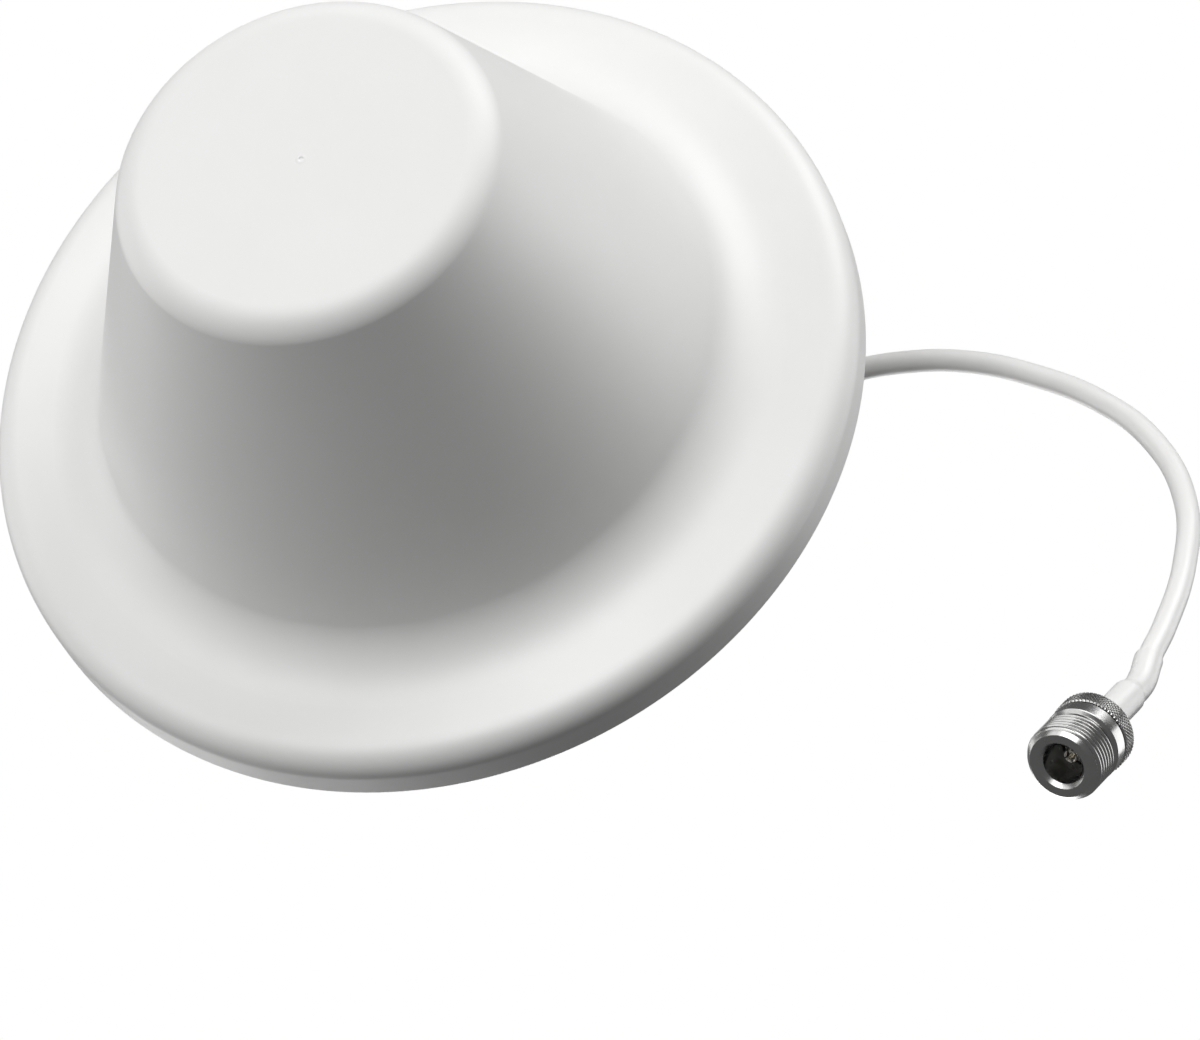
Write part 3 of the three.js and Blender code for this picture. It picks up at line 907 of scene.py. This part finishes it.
@dataclass
class Socket:
    """The N-type socket. Heights run back from its front face, in millimetres."""

    nickel: Material
    contact_plate: Material
    bead: Material
    crest: float = 7.94
    root: float = 7.28
    pitch: float = 25.4 / 24
    thread_start: float = 0.9
    thread_end: float = 7.3
    bore: float = 4.15
    mouth: float = 4.95
    face: float = 6.65
    lip: float = 0.8
    collar: float = 8.0
    collar_front: float = 9.0
    collar_back: float = 12.1
    relief: float = 7.1
    neck: float = 5.2
    tail: float = 2.15
    tail_bore: float = 1.6
    tail_end: float = 28.0
    bore_floor: float = 15.2
    knurl: float = 8.25
    knurl_front: float = 12.4
    knurl_back: float = 16.2
    knurl_rows: int = 30
    knurl_count: int = 61
    knurl_depth: float = 0.24
    groove_half: float = 0.27  # a knurl groove's half width, as a share of its pitch
    fingers: int = 4
    steps: int = 144

    def body(self) -> Object:
        """Makes the body: front ring, thread, relief groove, collar and bore."""
        bm = bmesh.new()
        turned(
            bm,
            [
                (self.mouth, 0, 0.06),
                (self.face, 0, 0.1),
                (self.face + self.lip, self.lip, 0.08),
                (self.root, self.lip + 0.25, 0.0),
                (self.root, self.thread_end + 0.45, 0.0),
                (self.relief, self.thread_end + 0.6, 0.08),
                (self.relief, self.collar_front - 0.45, 0.1),
                (self.collar - 0.2, self.collar_front - 0.15, 0.0),
                (self.collar, self.collar_front, 0.1),
                (self.collar, self.collar_back - 0.15, 0.1),
                (self.collar - 0.15, self.collar_back, 0.0),
                (self.neck, self.collar_back, 0.0),
                (self.neck, self.knurl_back + 0.2, 0.0),
                (self.tail, self.knurl_back + 0.2, 0.0),
                (self.tail, self.tail_end, 0.0),
                (self.tail_bore, self.tail_end, 0.0),
                (self.tail_bore, self.bore_floor, 0.0),
                (self.bore, self.bore_floor, 0.2),
                (self.bore, self.mouth - self.bore, 0.12),
            ],
            self.steps,
            closed=True,
            fillet_steps=3,
        )
        base = self.root - 0.15
        section = [
            (base, -0.515),
            (self.crest - 0.06, -0.15),
            (self.crest, -0.1),
            (self.crest, 0.1),
            (self.crest - 0.06, 0.15),
            (base, 0.515),
        ]
        turns = (self.thread_end - self.thread_start) / self.pitch
        thread_ridge(bm, section, self.thread_start, self.pitch, turns, base, steps=120, fade_turns=0.2)
        self.chamfer_thread(bm)
        return self.finished("threaded_body", bm, self.nickel, "socket_body")

    def chamfer_thread(self, bm: bmesh.types.BMesh) -> None:
        """Holds the first turns of the thread just under the cone of the front chamfer."""
        for vert in bm.verts:
            radius = math.hypot(vert.co.x, vert.co.y)
            limit = self.face + vert.co.z - 0.01
            if vert.co.z > self.lip * 0.25 and radius > limit and radius > self.root - 0.2:
                vert.co.x *= limit / radius
                vert.co.y *= limit / radius

    def knurled_ring(self) -> Object:
        """Makes the back ring with its diamond knurl."""
        bm = bmesh.new()
        rows = self.knurl_rows
        pitch = TAU * self.knurl / self.knurl_count
        start = self.knurl_front + 0.22
        end = start + rows * pitch / 8  # the wall's own steps then lie on the grooves
        wall = [(self.knurl, start + (end - start) * i / rows, 0.0) for i in range(rows + 1)]
        corners = [
            (5.5, self.knurl_front, 0.0),
            (self.knurl - 0.35, self.knurl_front, 0.0),
            *wall,
            (self.knurl - 0.45, self.knurl_back, 0.12),
            (5.5, self.knurl_back, 0.0),
        ]
        turned(bm, corners, self.knurl_count * 8, closed=True, fillet_steps=2)
        for vert in bm.verts:
            if start - WELD_MM <= vert.co.z <= end + WELD_MM:
                self.cut_diamond(vert, start, pitch)
        return self.finished("knurled_ring", bm, self.nickel, "socket_knurled_ring")

    def cut_diamond(self, vert: bmesh.types.BMVert, start: float, pitch: float) -> None:
        """Sinks a vertex of the knurled wall into the groove that it lies in."""
        radius = math.hypot(vert.co.x, vert.co.y)
        if radius < self.knurl - 0.05:
            return
        round_share = math.atan2(vert.co.y, vert.co.x) / TAU * self.knurl_count
        back_share = (vert.co.z - start) / pitch
        right, left = round_share + back_share, round_share - back_share
        nearest = min(abs(right - round(right)), abs(left - round(left)))
        sunk = self.knurl_depth * max(0.0, 1.0 - nearest / self.groove_half)
        vert.co.x *= (radius - sunk) / radius
        vert.co.y *= (radius - sunk) / radius

    def contact(self) -> Object:
        """Makes the slotted centre contact: four sprung fingers on a solid pin."""
        bm = bmesh.new()
        inner, outer, tip, foot = 0.85, 1.5, 4.2, 8.2
        slot_share = math.radians(18)
        first_finger = 0.5  # radians about the axis
        finger = [(inner, tip + 0.25), (inner + 0.2, tip), (outer - 0.22, tip), (outer, tip + 0.3)]
        finger += [(outer, foot), (inner, foot)]
        for i in range(self.fingers):
            old = set(bm.verts)
            points = [bm.verts.new((radius, 0.0, height)) for radius, height in finger]
            edges = [bm.edges.new(pair) for pair in zip(points, points[1:] + points[:1])]
            bmesh.ops.spin(
                bm,
                geom=points + edges,
                cent=(0, 0, 0),
                axis=(0, 0, 1),
                angle=TAU / self.fingers - slot_share,
                steps=12,
                use_merge=False,
                use_duplicate=False,
            )
            made = [vert for vert in bm.verts if vert not in old]
            open_edges = list(dict.fromkeys(e for v in made for e in v.link_edges if e.is_boundary))
            bmesh.ops.holes_fill(bm, edges=open_edges, sides=0)
            turn = Matrix.Rotation(TAU * i / self.fingers + first_finger, 3, "Z")
            bmesh.ops.rotate(bm, cent=(0, 0, 0), matrix=turn, verts=made)
        turned(
            bm,
            [
                (0, 8.6, 0), (inner, 8.6, 0), (inner, foot - 0.01, 0), (outer, foot - 0.01, 0),
                (outer, 17, 0), (0, 17, 0),
            ],
            48,
        )  # fmt: skip
        return self.finished("slotted_contact", bm, self.contact_plate, "socket_contact")

    def insulator(self) -> Object:
        """Makes the bead that holds the contact."""
        bm = bmesh.new()
        turned(
            bm,
            [(1.85, 9.4, 0.1), (self.bore - 0.3, 9.4, 0.2), (self.bore - 0.3, 14.9, 0.1), (1.85, 14.9, 0.1)],
            96,
            closed=True,
            fillet_steps=3,
        )
        return self.finished("socket_bead", bm, self.bead, "socket_insulator")

    def finished(self, name: str, bm: bmesh.types.BMesh, finish: Material, node: str) -> Object:
        """Turns one of the socket's meshes into its piece, in the part's frame."""
        return new_piece(name, bm, finish, Body.ANTENNA, (node,), socket_place(1.0))

    def build(self) -> list[Object]:
        """Makes the whole socket.

        Returns:
            Its pieces.
        """
        return [self.body(), self.knurled_ring(), self.contact(), self.insulator()]


# ---------------------------------------------------------------- radome


@dataclass
class Radome:
    """The white shell: flat end, cone, hollow sweep, flat flange and rolled rim. Millimetres."""

    plastic: Material
    rim: float = 93.0
    depth: float = 91.0
    wall: float = 2.4
    flange: float = 12.0
    rim_round: float = 5.9
    sweep_round: float = 14.5
    end_round: float = 7.1
    cone_slope: float = 0.4
    cone_foot: float = 69.54
    screw_circle: float = 83.6
    screw_count: int = 4
    steps: int = 256

    def cone_radius(self, height: float, inset: float = 0.0) -> float:
        """The cone's radius at a height below the mounting plane, or that of its inner wall."""
        slant = math.hypot(1.0, self.cone_slope)
        return self.cone_foot + (height + self.flange) * self.cone_slope - inset * slant

    def build(self) -> Object:
        """Makes the radome with its gate mark and the bosses for the back plate's screws."""
        bm = bmesh.new()
        end, inner_end = -self.depth, -self.depth + self.wall
        inner_flange = -self.flange + self.wall
        inner_rim = self.rim - self.wall
        turned(
            bm,
            [
                (0, end + 0.14, 0),
                (0.42, end + 0.14, 0.05),
                (0.6, end - 0.07, 0.05),
                (0.95, end - 0.07, 0.08),
                (1.25, end, 0.05),
                (self.cone_radius(end), end, self.end_round),
                (self.cone_radius(-self.flange), -self.flange, self.sweep_round),
                (self.rim, -self.flange, self.rim_round),
                (self.rim, 0, 0.7),
                (inner_rim, 0, 0.5),
                (inner_rim, inner_flange, self.rim_round - self.wall),
                (self.cone_radius(inner_flange, self.wall), inner_flange, self.sweep_round + self.wall),
                (self.cone_radius(inner_end, self.wall), inner_end, self.end_round - self.wall),
                (0, inner_end, 0),
            ],
            self.steps,
            fillet_steps=14,
        )
        for i in range(self.screw_count):
            boss = turned(
                bm, [(1.8, -10.2, 0), (3.7, -10.2, 0), (3.7, -3.9, 0.3), (1.8, -3.9, 0.2)], 32, closed=True
            )
            move(bm, boss, around(self.screw_circle, (i + 0.5) * TAU / self.screw_count))
        return new_piece("radome_shell", bm, self.plastic, Body.ANTENNA, ("radome",))


# ---------------------------------------------------------------- back: plate, stud, washer, nut and grommet


@dataclass
class BackPlate:
    """The plate that closes the radome, with its hub, ribs and screw wells. Millimetres."""

    plastic: Material
    steel: Material
    radius: float = 90.3
    bottom: float = -3.6
    top: float = -1.2
    hub: float = 21.0
    bore: float = 11.3
    rib_height: float = 0.8
    rib_half: float = 0.7
    rib_rings: tuple[float, float] = (50.0, 76.0)
    radial_ribs: int = 8
    screw_circle: float = 83.6
    ground_circle: float = 66.0
    screw_count: int = 4
    head: float = 2.9
    shank: float = 1.5

    def plate(self) -> Object:
        """Makes the plate."""
        bm = bmesh.new()
        rib_top = self.top + self.rib_height
        ribs: list[Corner] = []
        for ring in reversed(self.rib_rings):
            ribs += [
                (ring + self.rib_half + 0.12, self.top, 0.35),
                (ring + self.rib_half, rib_top, 0.25),
                (ring - self.rib_half, rib_top, 0.25),
                (ring - self.rib_half - 0.12, self.top, 0.35),
            ]
        corners = [
            (self.bore, self.bottom, 0.3),
            (self.radius, self.bottom, 0.4),
            (self.radius, self.top, 0.4),
            *ribs,
            (self.hub, self.top, 0.5),
            (self.hub, 0, 0.35),
            (self.bore, 0, 0.3),
        ]
        turned(bm, corners, 192, closed=True, fillet_steps=4)
        wells = bmesh.new()
        floor = self.top - 1.2
        for i in range(self.screw_count):
            well_outline = [
                (0, -6, 0), (1.8, -6, 0), (1.8, floor, 0), (3.6, floor, 0.25), (3.6, 1, 0), (0, 1, 0),
            ]  # fmt: skip
            well = turned(wells, well_outline, 48)
            move(wells, well, around(self.screw_circle, self.screw_angle(i)))
        bm = combine(bm, wells, "DIFFERENCE")
        for i in range(self.radial_ribs):
            self.radial_rib(bm, rib_top, TAU * i / self.radial_ribs)
        for i in range(self.screw_count):
            root = self.bottom + 0.4
            outline = [(1.8, -6.6, 0), (3.6, -6.6, 0.3), (3.6, root, 0), (1.8, root, 0)]
            post = turned(bm, outline, 32, closed=True)
            move(bm, post, around(self.ground_circle, self.screw_angle(i)))
        return new_piece("ribbed_back", bm, self.plastic, Body.ANTENNA, ("back_plate",))

    def screw_angle(self, i: int) -> float:
        """The angle of a screw about the stud."""
        return (i + 0.5) * TAU / self.screw_count

    def radial_rib(self, bm: bmesh.types.BMesh, top: float, angle: float) -> None:
        """Adds one radial rib, from the hub to the outer ring rib."""
        inner, outer = self.hub - 0.6, self.rib_rings[1]
        made = bmesh.ops.create_cube(bm, size=1.0)["verts"]
        size = (outer - inner, 2 * self.rib_half, top - self.top + 0.5)
        middle = ((outer + inner) / 2, 0, (top + self.top - 0.5) / 2)
        move(bm, made, Matrix.Translation(middle) @ Matrix.Diagonal((*size, 1)))
        edges = list(dict.fromkeys(e for v in made for e in v.link_edges))
        grown = bmesh.ops.bevel(
            bm,
            geom=edges,
            offset=0.22,
            offset_type="OFFSET",
            segments=3,
            profile=0.5,
            affect="EDGES",
            material=-1,
        )
        verts = list(dict.fromkeys(v for face in grown["faces"] for v in face.verts))
        move(bm, verts, Matrix.Rotation(angle, 4, "Z"))

    def screw(self, number: int) -> Object:
        """Makes one pan-head screw with a cross recess."""
        bm = bmesh.new()
        turned(
            bm,
            [
                (0, -5.6, 0), (0.5, -5.6, 0), (self.shank, -4.0, 0), (self.shank, 0, 0), (self.head, 0, 0.15),
                (self.head, 0.72, 0.35), (self.head - 1.0, 1.4, 0.8), (0, 1.5, 0),
            ],
            48,
        )  # fmt: skip
        for angle in (0.0, TAU / 4):
            slot = bmesh.new()
            made = bmesh.ops.create_cube(slot, size=1.0)["verts"]
            for vert in made:
                narrow = 1.0 if vert.co.z > 0 else 0.45
                x, y, z = vert.co
                vert.co = Vector((x * 3.3 * narrow, y * 0.72 * narrow, z * 1.3 + 1.25))
            move(slot, made, Matrix.Rotation(angle, 4, "Z"))
            bm = combine(bm, slot, "DIFFERENCE")
        seat = Matrix.Translation((0, 0, self.top - 0.9))
        place = around(self.screw_circle, self.screw_angle(number - 1)) @ seat
        name = f"cross_screw_{number}"
        return new_piece(name, bm, self.steel, Body.ANTENNA, (f"plate_screw_{number}",), place)

    def build(self) -> None:
        """Makes the plate and its screws."""
        self.plate()
        for number in range(1, self.screw_count + 1):
            self.screw(number)


@dataclass
class ThreadedStud:
    """The hollow threaded stud with its inner flange, and the grommet in its end. Millimetres."""

    plastic: Material
    rubber: Material
    crest: float = 11.0
    root: float = 9.6
    pitch: float = 2.5
    thread_start: float = 2.0
    top: float = 36.0
    flange: float = 16.0
    flange_top: float = -3.9
    flange_bottom: float = -6.9
    cable_hole: float = 2.775
    grommet_tip: float = 46.0

    def stud(self) -> Object:
        """Makes the stud."""
        bm = bmesh.new()
        turned(
            bm,
            [
                (4.6, self.flange_bottom, 0.2), (self.flange, self.flange_bottom, 0.4),
                (self.flange, self.flange_top, 0.4), (self.crest - 0.05, self.flange_top, 0),
                (self.crest - 0.05, 0.5, 0.2), (self.root, 1.5, 0.3), (self.root, 35.3, 0.2),
                (self.root - 0.6, self.top, 0.15), (6.3, self.top, 0.2), (6.3, 23.7, 0), (2.9, 23.7, 0),
                (2.9, -2.7, 0), (4.6, -2.7, 0),
            ],
            128,
            closed=True,
            fillet_steps=3,
        )  # fmt: skip
        base = self.root - 0.15
        section = [
            (base, -1.13), (self.crest - 0.15, -0.38), (self.crest, -0.22),
            (self.crest, 0.22), (self.crest - 0.15, 0.38), (base, 1.13),
        ]  # fmt: skip
        turns = (self.top - 1.6 - self.thread_start) / self.pitch
        thread_ridge(bm, section, self.thread_start, self.pitch, turns, base, steps=96)
        return new_piece("mounting_stud", bm, self.plastic, Body.ANTENNA, ("threaded_stud",))

    def grommet(self) -> Object:
        """Makes the tapered grommet: a flange on the stud's end and a ribbed nose round the cable."""
        bm = bmesh.new()
        hole, tip = self.cable_hole, self.grommet_tip
        corners: list[Corner] = [
            (hole, self.top - 12, 0.0), (6, self.top - 12, 0.3), (6, self.top + 0.3, 0.0),
            (8.2, self.top + 0.3, 0.15), (8.2, self.top + 2.0, 0.6), (5.1, self.top + 2.8, 0.7),
        ]  # fmt: skip
        for i in range(3):
            height = self.top + 4.2 + 1.8 * i
            radius = 4.85 - 0.3 * i
            corners += [
                (radius, height, 0.1), (radius - 0.45, height + 0.25, 0.1),
                (radius - 0.5, height + 0.65, 0.1), (radius - 0.12, height + 0.9, 0.1),
            ]  # fmt: skip
        corners += [(3.8, tip, 0.35), (hole, tip, 0.1)]
        turned(bm, corners, 96, closed=True, fillet_steps=3)
        return new_piece("cable_nose", bm, self.rubber, Body.ANTENNA, ("cable_grommet",))

    def build(self) -> None:
        """Makes the stud and its grommet."""
        self.stud()
        self.grommet()


@dataclass
class ClampSet:
    """The washer and nut that clamp the antenna to a ceiling tile. Millimetres."""

    plastic: Material
    bore: float = 11.3
    flats: float = 33.0
    nut_bottom: float = 2.4
    nut_top: float = 10.4
    chamfer: float = 1.8
    pitch: float = 2.5
    stud_thread_start: float = 2.0
    washer_inner: float = 11.5
    washer_outer: float = 19.5
    washer_bottom: float = 0.3
    washer_top: float = 2.1

    def washer(self) -> Object:
        """Makes the washer."""
        bm = bmesh.new()
        low, high = self.washer_bottom, self.washer_top
        corners = [
            (self.washer_inner, low, 0.3), (self.washer_outer, low, 0.3),
            (self.washer_outer, high, 0.5), (self.washer_inner, high, 0.3),
        ]  # fmt: skip
        turned(bm, corners, 128, closed=True, fillet_steps=4)
        return new_piece("seat_washer", bm, self.plastic, Body.WASHER, ("clamp_washer",))

    def nut(self) -> Object:
        """Makes the hexagon nut with chamfered corners and an inner thread."""
        corner = self.flats / math.sqrt(3)
        height = self.nut_top - self.nut_bottom
        bm = bmesh.new()
        bmesh.ops.create_cone(
            bm, cap_ends=True, cap_tris=False, segments=6, radius1=corner, radius2=corner, depth=height
        )
        turn = Matrix.Rotation(TAU / 12, 4, "Z")
        move(bm, bm.verts, Matrix.Translation((0, 0, (self.nut_bottom + self.nut_top) / 2)) @ turn)
        edge = self.flats / 2 + 0.4
        rounder = bmesh.new()
        turned(
            rounder,
            [
                (0, self.nut_bottom - 1, 0), (edge, self.nut_bottom - 1, 0), (edge, self.nut_bottom, 0),
                (corner + 1, self.nut_bottom + self.chamfer, 0), (corner + 1, self.nut_top - self.chamfer, 0),
                (edge, self.nut_top, 0), (edge, self.nut_top + 1, 0), (0, self.nut_top + 1, 0),
            ],
            96,
        )  # fmt: skip
        bm = combine(bm, rounder, "INTERSECT")
        hole = bmesh.new()
        turned(
            hole,
            [
                (0, self.nut_bottom - 1, 0), (self.bore + 1.8, self.nut_bottom - 1, 0),
                (self.bore, self.nut_bottom + 0.8, 0), (self.bore, self.nut_top - 0.8, 0),
                (self.bore + 1.8, self.nut_top + 1, 0), (0, self.nut_top + 1, 0),
            ],
            96,
        )  # fmt: skip
        bm = combine(bm, hole, "DIFFERENCE")
        tidy(bm)
        soften(bm, 0.35, degrees=24.0, segments=3)
        base = self.bore + 0.15
        section = [(base, 1.1), (10.05, 0.3), (10.05, -0.3), (base, -1.1)]
        start = self.stud_thread_start + self.pitch / 2
        turns = (self.nut_top - 1.3 - start) / self.pitch
        thread_ridge(bm, section, start, self.pitch, turns, base, steps=96)
        return new_piece("hexagon_nut", bm, self.plastic, Body.NUT, ("clamp_nut",))

    def build(self) -> None:
        """Makes the washer and the nut."""
        self.washer()
        self.nut()


# ---------------------------------------------------------------- the parts inside


@dataclass
class Inside:
    """The parts inside the antenna, which keep their CAD shape and get their finish here."""

    finishes: dict[Slot, Material]
    ground_screws: int = 4
    legs: int = 3

    def build(self) -> None:
        """Dresses every node that no piece replaces, by its slot in the record."""
        kept = [
            "ground_plane", "radiator_cone", "radiator_sleeve", "feed_bush", "feed_insulator", "feed_pin",
            "coax_lead_in_stud", "crimp_ferrule",
        ]  # fmt: skip
        kept += [f"ground_screw_{i + 1}" for i in range(self.ground_screws)]
        kept += [f"{kind}_{i + 1}" for kind in ("shorting_strip", "support_post") for i in range(self.legs)]
        slots = {row["node"]: row["material_slot"] for row in frame["record"]["subparts"]}
        for node in kept:
            dress(node, self.finishes[Slot(slots[node])])


# ---------------------------------------------------------------- finishes and the whole antenna


def make_finishes() -> dict[Slot, Material]:
    """Builds every finish.

    Returns:
        The material of each slot.
    """
    upright = Matrix.Identity(4)
    chosen = {
        # Spark-eroded mould: an even satin skin, its 0.1 mm grain drawn at 0.3 mm so that it shows.
        Slot.WHITE_ABS: Moulded("white_abs_satin", "#F1F1F0", 0.46, "#DEDEDA", 1.53, 0.3, 0.004),
        # The back comes from a plainer mould, and looks a little duller.
        Slot.BACK_ABS: Moulded("back_abs_matt", "#EDEDEA", 0.55, "#D8D8D3", 1.53, 0.4, 0.006),
        # The thread and nut are polished by the mould's turned inserts.
        Slot.STUD_ABS: Moulded("stud_abs", "#EDEDEA", 0.42, "#D6D6D1", 1.53, 0.5, 0.003, cloud_mm=9.0),
        Slot.NUT_ABS: Moulded("nut_abs", "#EFEFEC", 0.44, "#D9D9D4", 1.53, 0.45, 0.004, cloud_mm=12.0),
        # Soft PVC scatters the light, with hardly a highlight.
        Slot.GROMMET: Moulded("grommet_soft_pvc", "#DEDEDA", 0.62, "#C6C6C0", 1.5, 0.35, 0.008, cloud_mm=6.0),
        # Extruded jacket: a smooth, slightly waxy gloss.
        Slot.JACKET: Moulded(
            "white_pvc_jacket", "#F2F2F1", 0.36, "#E0E0DE", 1.54, 0.8, 0.004, cloud_mm=9.0, speck_weight=0.2
        ),
        # Shrunk polyolefin: glossier than the jacket, with soft ripples where it gripped.
        Slot.SHRINK: Moulded(
            "heat_shrink_polyolefin", "#F0F0EF", 0.3, "#DCDCDA", 1.5, 2.4, 0.02,
            cloud_mm=7.0, speck_weight=0.2,
        ),  # fmt: skip
        # Turned PTFE: chalky white.
        Slot.PTFE: Moulded("ptfe_turned", "#EFEFEB", 0.5, "#DADAD4", 1.38, 0.3, 0.004, cloud_mm=4.0),
        Slot.NYLON: Moulded("nylon_natural", "#E2DFD2", 0.48, "#CFCBBB", 1.53, 0.4, 0.004, cloud_mm=8.0),
        # Bright nickel over turned brass: clear reflections, softened by the tool's rings.
        Slot.NICKEL: TurnedMetal(
            "nickel_plate", "#ABABAA", 0.24, "#939391", 0.12, 0.0022, 3.0, socket_place(MM)
        ),
        # The contact's thin precious plate is warmer and softer.
        Slot.CONTACT: TurnedMetal(
            "contact_plate", "#F2EFE8", 0.22, "#DDD6C6", 0.1, 0.001, 1.5, socket_place(MM)
        ),
        # Zinc plate has a soft, faintly patchy shine.
        Slot.SCREW: TurnedMetal("zinc_plate", "#C6C8CA", 0.3, "#A9ADB0", 0.15, 0.002, 2.0, upright),
        Slot.GROUND: RolledSheet("rolled_aluminium", "#D2D4D6", 0.36, "#B9BCC0", 0.25, 30.0, 0.002, 9.0),
        Slot.TINNED: RolledSheet("tinned_brass_sheet", "#C9C5B9", 0.34, "#A8A18C", 0.3, 20.0, 0.002, 5.0),
        Slot.COPPER: RolledSheet("drawn_copper", "#C98A66", 0.28, "#9C5F40", 0.1, 6.0, 0.001, 2.0),
    }
    return {slot: finish.make() for slot, finish in chosen.items()}


def main() -> None:
    """Builds the camera, the pigtail with its socket, and then the rest of the antenna and the studio."""
    logging.basicConfig(level=logging.INFO, format="%(message)s")
    view = Viewpoint(
        location=Vector((-0.019, -0.6294, -0.903)),
        below_degrees=57.2,
        roll_degrees=152.4,
        lens_mm=157.8,
    )
    view.build()
    finishes = make_finishes()
    socket = Socket(finishes[Slot.NICKEL], finishes[Slot.CONTACT], finishes[Slot.PTFE]).build()
    Pigtail(finishes[Slot.JACKET], finishes[Slot.SHRINK]).build(socket)
    Radome(finishes[Slot.WHITE_ABS]).build()
    BackPlate(finishes[Slot.BACK_ABS], finishes[Slot.SCREW]).build()
    ThreadedStud(finishes[Slot.STUD_ABS], finishes[Slot.GROMMET]).build()
    ClampSet(finishes[Slot.NUT_ABS]).build()
    Inside(finishes).build()
    boxes = (
        Softbox("key_softbox", -0.3, 0.5, 0.8, 28),
        Softbox("upper_softbox", 0.5, 0.9, 0.1, 32),
        Softbox("upper_left_softbox", -0.8, 0.3, 0.5, 12),
        Softbox("left_back_softbox", -0.9, 0.0, -0.4, 12),
        Softbox("right_back_softbox", 0.9, 0.0, -0.4, 16),
        Softbox("low_back_softbox", -0.15, -0.6, -0.8, 20),
    )
    Studio(view, boxes, Vector((-0.02, -0.03, -0.03))).build()


if __name__ == "__main__":
    main()
